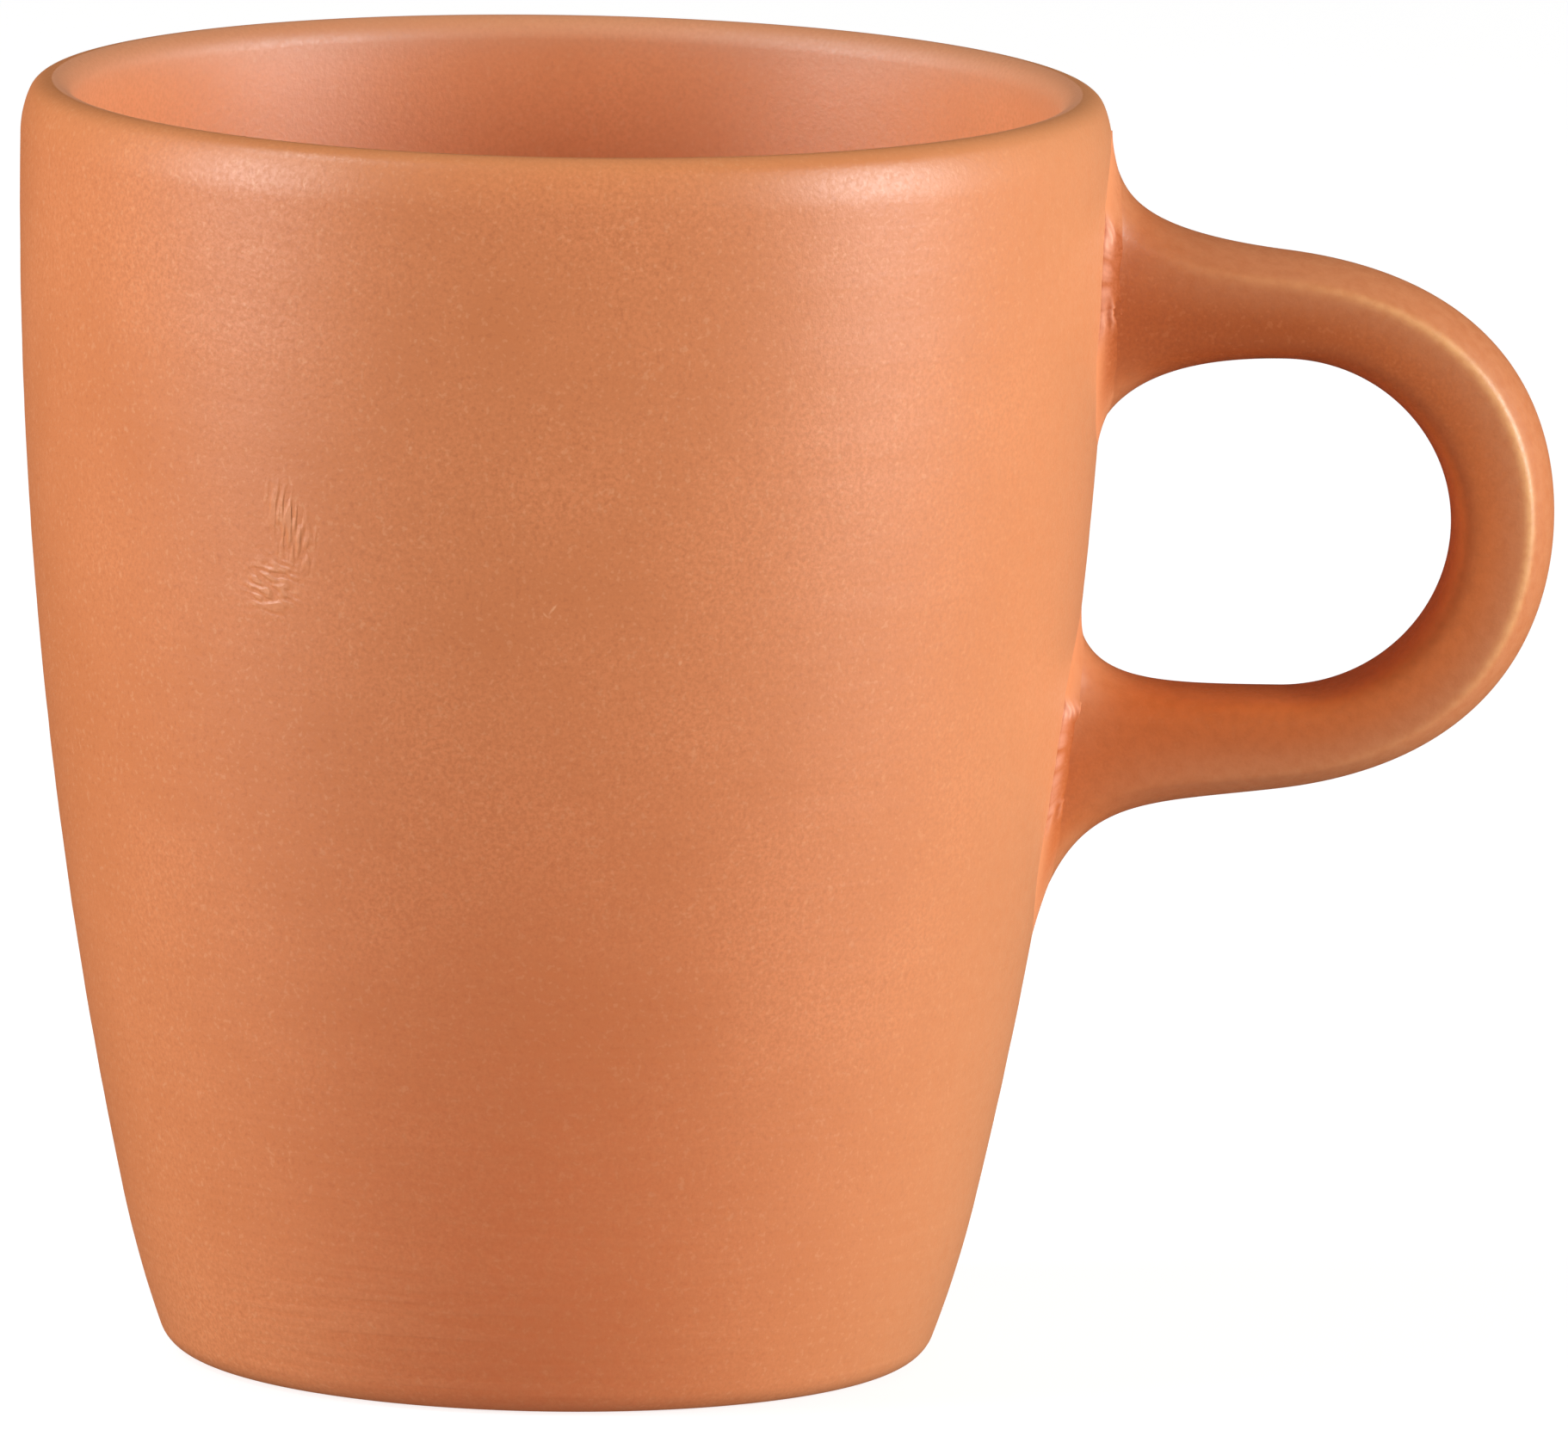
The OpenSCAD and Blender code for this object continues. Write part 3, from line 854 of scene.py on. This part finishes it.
def clay(name, tones, specks, rough, marks, seed_shift=0.0, shine=0.62, ior=1.5, depth=0.011, nicks=(),
         scuffs=()):
    """Matte stoneware. Two tones mingle in soft patches, two specks make dark pits and pale grains, and the
    grain's height, depth in mm, goes to the normal. rough is the roughness in and on the grain. Each mark is
    an attribute's name, the colour it brings, whether smudges break it up, and how much it polishes the clay.
    seed_shift moves the pattern, so that two pieces don't share one. shine and ior set how strongly the clay
    mirrors. nicks and scuffs are paler clay."""
    tone, deep = tones
    pit, pale = specks
    material = bpy.data.materials.new(name)
    material.use_nodes = True
    tree = material.node_tree
    shader = tree.nodes["Principled BSDF"]
    in_place = add(tree, "ShaderNodeTexCoord").outputs["Object"]
    move = add(tree, "ShaderNodeMapping", {"Location": (seed_shift, 0, 0)})
    tree.links.new(in_place, move.inputs["Vector"])
    at = move.outputs["Vector"]
    patches = spread(tree, noise(tree, at, patch_size, 4), *patch_edges)
    colour = blend(tree, patches, tone, deep)
    grain = noise(tree, at, grain_size, 2)
    colour = blend(tree, spread(tree, grain, *grain_edges), colour, deep)
    speckle = noise(tree, at, speckle_size, 1)
    colour = blend(tree, spread(tree, speckle, *pit_edges, 0.0, pit_share), colour, pit)
    colour = blend(tree, spread(tree, speckle, *pale_edges, pale_share, 0.0), colour, pale)
    grog = add(tree, "ShaderNodeTexVoronoi", {"Scale": 1 / (grog_gap * MM), "Randomness": 1.0})
    tree.links.new(at, grog.inputs["Vector"])
    colour = blend(tree, spread(tree, grog.outputs["Distance"], *grog_edges, grog_share, 0.0), colour, pale)
    smudge = spread(tree, noise(tree, at, smudge_size, 3), *smudge_edges, *smudge_shares)
    roughness = spread(tree, grain, *rough_edges, *rough)
    for attribute, mark_colour, broken, polish in marks:
        share = painted(tree, attribute)
        if broken:
            share = combine(tree, "MULTIPLY", share, smudge)
        colour = blend(tree, share, colour, mark_colour)
        if polish:
            roughness = combine(tree, "SUBTRACT", roughness, combine(tree, "MULTIPLY", share, polish))
    for nick in nicks:
        cut = nicked(tree, in_place, *nick)
        colour = blend(tree, combine(tree, "MULTIPLY", cut, nick_share), colour, pale)
    height = combine(tree, "ADD", grain, noise(tree, at, dimple_size, 2))
    for scuff in scuffs:
        rubbed = streaked(tree, in_place, *scuff)
        height = combine(tree, "ADD", height, combine(tree, "MULTIPLY", rubbed, scuff_height))
        colour = blend(tree, combine(tree, "MULTIPLY", rubbed, scuff_share), colour, pale)
    tree.links.new(colour, shader.inputs["Base Color"])
    tree.links.new(roughness, shader.inputs["Roughness"])
    bump = add(tree, "ShaderNodeBump", {"Strength": 1.0, "Distance": depth * MM})
    tree.links.new(height, bump.inputs["Height"])
    tree.links.new(bump.outputs["Normal"], shader.inputs["Normal"])
    shader.inputs["Specular IOR Level"].default_value = shine
    shader.inputs["IOR"].default_value = ior
    return material


# %% [markdown]
# ## Four clays from one recipe
# The body, its inside, the handle and the slip are one stoneware, given tones and marks of their own: the
# inside is painted brighter, as painted light, and the handle and the slip darker, as painted shade, with a
# painted highlight and painted bounce light on them. One material with many switches would hide that, so the
# recipe is called four times, with tones and marks of its own each time. The inside is a little smoother, and
# begins at the crest of the lip, where the lip's painted shade hides the change.

# %% Colours as 0-255 screen values. The inside's are painted lighter, as painted light; the handle's darker, as painted shade
body_tones = linear(229, 140, 89), linear(215, 127, 75)
# The inside's tones are painted brighter than the body's clay: painted light, standing in for light bounced
# round the inside of the cup.
lit_inside_tones = linear(247, 161, 108), linear(234, 148, 94)
# The handle's tones are the body's clay painted darker and more saturated, as painted shade; the slip uses
# them too.
shaded_handle_tones = linear(193, 99, 44), linear(180, 88, 33)
pale_clay = linear(246, 182, 136)
body_specks = linear(190, 104, 58), pale_clay
# The inside's dark specks are lightened with it, as part of the painted light.
lit_inside_specks = linear(216, 130, 80), pale_clay
# The handle's specks are darkened with it, as part of the painted shade.
shaded_handle_specks = linear(160, 78, 34), linear(222, 138, 86)
paler_clay = linear(224, 152, 104)
# A redder flush for the body; painted bounce light from the body for the handle and the slip.
body_flush, handle_bounce_light = linear(219, 112, 60), linear(227, 122, 58)
# Painted shade on the lip, and its fade into the inside of the mouth.
lip_shade_colour, mouth_shade_colour = linear(208, 138, 85), linear(196, 125, 73)
# The body's lighter clay, where the handle is free of its painted shade.
unshaded_clay = linear(217, 140, 92)
# Painted highlight on the handle's ridge.
ridge_highlight_clay = linear(248, 184, 116)
slip_on_wall = linear(227, 142, 91)
# Painted highlight on the slip.
slip_highlight_colour = linear(244, 172, 140)
print("body tones in linear light:", [tuple(round(v, 3) for v in tone) for tone in body_tones])

# %% The four clays, and who wears which
body_stoneware = clay(
    "body_stoneware", body_tones, body_specks, (0.36, 0.50),
    [("paler_by_handle", paler_clay, True, 0), ("bounce_and_flush", body_flush, True, 0), ("lip_shade", lip_shade_colour, False, 0.1)],
    nicks=nicks, scuffs=scuffs)
inside_stoneware = clay(
    "inside_stoneware", lit_inside_tones, lit_inside_specks, (0.34, 0.46),
    [("lip_shade", mouth_shade_colour, False, -0.45)], shine=1.0, ior=1.68, depth=0.009)
# Painted bounce light, and the lighter clay free of the handle's painted shade.
painted_light_marks = [("bounce_and_flush", handle_bounce_light, True, 0), ("unshaded", unshaded_clay, True, 0)]
handle_stoneware = clay(
    "handle_stoneware", shaded_handle_tones, shaded_handle_specks, (0.36, 0.50),
    painted_light_marks + [("painted_ridge_highlight", ridge_highlight_clay, True, 0)], seed_shift=0.31)
# The slip wears the handle's painted shade, which gives way to the wall's colour at its foot.
luting_slip = clay(
    "luting_slip", shaded_handle_tones, shaded_handle_specks, (0.62, 0.78),
    painted_light_marks + [("walled", slip_on_wall, False, 0), ("painted_slip_highlight", slip_highlight_colour, False, 0)],
    seed_shift=0.57, shine=0.35)
for piece, material in ((cup_body_ware, body_stoneware), (cup_body_ware, inside_stoneware),
                        (strap_handle_ware, handle_stoneware),
                        (upper_slip_collar, luting_slip), (lower_slip_collar, luting_slip)):
    piece.data.materials.append(material)
    print(piece.name, "wears", material.name)

# %% The inside takes its own finish
faces = np.arange(len(cup_body_ware.data.polygons))
crest_row = int(np.argmax(outline[:, 1]))
inner_faces = (faces >= crest_row * body_around) & (faces < (len(outline) - 1) * body_around)
inner_faces |= faces >= len(outline) * body_around
cup_body_ware.data.polygons.foreach_set("material_index", inner_faces.astype(np.int32))
print(f"{inner_faces.sum()} of {len(faces)} faces are inside")

# %% [markdown]
# ## Floor
# The cup stands on a plain pale floor, a hair below its foot ring so that the two faces don't flicker. The
# floor glows a little, which keeps it white without stronger lights, and it is clear from below, so that
# the underside can be looked at. The clay doesn't see it: its bounce comes from the lower half of the sky
# instead, which is smoother.

# %% Pale floor
floor_half = 4000.0
floor_drop = 0.02
floor_grey = (0.32, 0.32, 0.32, 1)
floor_rough = 0.9
floor_glow = 0.81
floor_corners = np.array([[-1, -1], [1, -1], [1, 1], [-1, 1]]) * floor_half * MM
floor_mesh = bpy.data.meshes.new("pale_floor")
floor_mesh.from_pydata([(x, y, -floor_drop * MM) for x, y in floor_corners.tolist()], [], [(0, 1, 2, 3)])
pale_floor = bpy.data.objects.new("pale_floor", floor_mesh)
bpy.context.scene.collection.objects.link(pale_floor)
pale_floor.visible_diffuse = False
pale_floor.visible_glossy = False
floor_paint = bpy.data.materials.new("floor_paint")
floor_paint.use_nodes = True
floor_tree = floor_paint.node_tree
floor_shader = floor_tree.nodes["Principled BSDF"]
floor_shader.inputs["Base Color"].default_value = floor_grey
floor_shader.inputs["Roughness"].default_value = floor_rough
floor_shader.inputs["Emission Color"].default_value = (1, 1, 1, 1)
floor_shader.inputs["Emission Strength"].default_value = floor_glow
floor_mesh.materials.append(floor_paint)
print(f"floor {2 * floor_half * MM:.0f} m wide, {floor_drop} mm under the foot ring")

# %% Clear from below
which_side = add(floor_tree, "ShaderNodeNewGeometry")
clear = add(floor_tree, "ShaderNodeBsdfTransparent")
one_sided = add(floor_tree, "ShaderNodeMixShader")
floor_output = floor_tree.nodes["Material Output"]
floor_tree.links.new(which_side.outputs["Backfacing"], one_sided.inputs[0])
floor_tree.links.new(floor_shader.outputs["BSDF"], one_sided.inputs[1])
floor_tree.links.new(clear.outputs["BSDF"], one_sided.inputs[2])
floor_tree.links.new(one_sided.outputs["Shader"], floor_output.inputs["Surface"])
print("the floor shows from above only")

# %% [markdown]
# ## Light
# Two large soft boxes stand to the left and right of the cup, well round to the sides, so that each leaves
# a broad sheen a third of the way in from the edge, and the middle stays darker. The right one is the
# stronger. A smaller one, high on the left, brightens the lip there. A white sky fills the rest: brighter
# below, where it stands in for light from the floor, and brighter behind, so that the back isn't dark. It
# leaves no mirror image in the clay, so the sheens stay those of the boxes.


# %% Soft boxes
def soft_box(name, azimuth, elevation, distance, width, height, power):
    """Rectangular light that looks at the middle of the cup. Azimuth 0 is at the camera's side and 90 is at
    the handle's side; both angles are in degrees, lengths in mm, power in watts."""
    data = bpy.data.lights.new(name, "AREA")
    data.shape = "RECTANGLE"
    data.size, data.size_y = width * MM, height * MM
    data.energy = power
    data.color = box_tint
    light = bpy.data.objects.new(name, data)
    bpy.context.scene.collection.objects.link(light)
    a, e = np.radians(azimuth), np.radians(elevation)
    towards = Vector((np.sin(a) * np.cos(e), -np.cos(a) * np.cos(e), np.sin(e)))
    light.location = Vector((0, 0, cup_h / 2 * MM)) + towards * distance * MM
    light.rotation_euler = towards.to_track_quat("Z", "Y").to_euler()
    light.visible_camera = False
    print(f"{name}: {width} by {height} mm, {power} W")


box_tint = (0.99, 1.015, 1.03)
box_distance = 900
soft_box("right_soft_box", 70, 12, box_distance, width=420, height=560, power=9.2)
soft_box("left_soft_box", -70, 12, box_distance, width=420, height=560, power=6.0)
soft_box("upper_left_soft_box", -76, 48, box_distance, width=300, height=300, power=2.3)

# %% Sky
sky_tint = (1.0, 0.965, 0.93, 1)
sky_below, sky_above, horizon_half = 0.52, 0.22, 0.05
sky_behind, behind_from = 0.3, 0.6
sky = bpy.data.worlds.new("white_sky")
sky.use_nodes = True
sky_tree = sky.node_tree
sky_shader = sky_tree.nodes["Background"]
sky_shader.inputs["Color"].default_value = sky_tint
direction = add(sky_tree, "ShaderNodeTexCoord")
split = add(sky_tree, "ShaderNodeSeparateXYZ")
sky_tree.links.new(direction.outputs["Generated"], split.inputs["Vector"])
below_to_above = spread(sky_tree, split.outputs["Z"], -horizon_half, horizon_half, sky_below, sky_above)
behind = spread(sky_tree, split.outputs["Y"], 0.0, behind_from, 0.0, sky_behind)
sky_tree.links.new(combine(sky_tree, "ADD", below_to_above, behind), sky_shader.inputs["Strength"])
sky.cycles_visibility.glossy = False
bpy.context.scene.world = sky
bpy.context.scene.view_settings.view_transform = "Standard"
print(f"sky {sky_above} strong above, {sky_below} below, and {sky_behind} more behind the cup")

# %% [markdown]
# ## Camera
# The photograph was taken with a long lens from a little above the rim. Distance, height and tilt were
# found by fitting the outline of the cup's arcs to the outline in the photograph, which fixes all of them
# at once.

# %% Camera where the photograph was taken
camera_distance = 1665.9
camera_elevation = np.radians(9.096)
camera_roll = np.radians(1.026)
camera_target = np.array([12.433, 0.0, 35.412])
sensor_width = 36.0
focal_px, image_w = 35362.8, 1822
forward = np.array([0, np.cos(camera_elevation), -np.sin(camera_elevation)])
side_on = np.array([1.0, 0.0, 0.0])
up_straight = np.array([0, np.sin(camera_elevation), np.cos(camera_elevation)])
right = side_on * np.cos(camera_roll) + up_straight * np.sin(camera_roll)
up = up_straight * np.cos(camera_roll) - side_on * np.sin(camera_roll)
camera_place = camera_target - forward * camera_distance
camera_data = bpy.data.cameras.new("photo_camera")
camera_data.sensor_width = sensor_width
camera_data.lens = focal_px / image_w * sensor_width
camera_data.clip_end = 20.0
camera = bpy.data.objects.new("photo_camera", camera_data)
bpy.context.scene.collection.objects.link(camera)
turned_to = Matrix(np.stack([right, up, -forward], 1).tolist()).to_4x4()
camera.matrix_world = Matrix.Translation(Vector((camera_place * MM).tolist())) @ turned_to
bpy.context.scene.camera = camera
print(f"lens {camera_data.lens:.0f} mm, {camera_distance / 1000:.2f} m away")
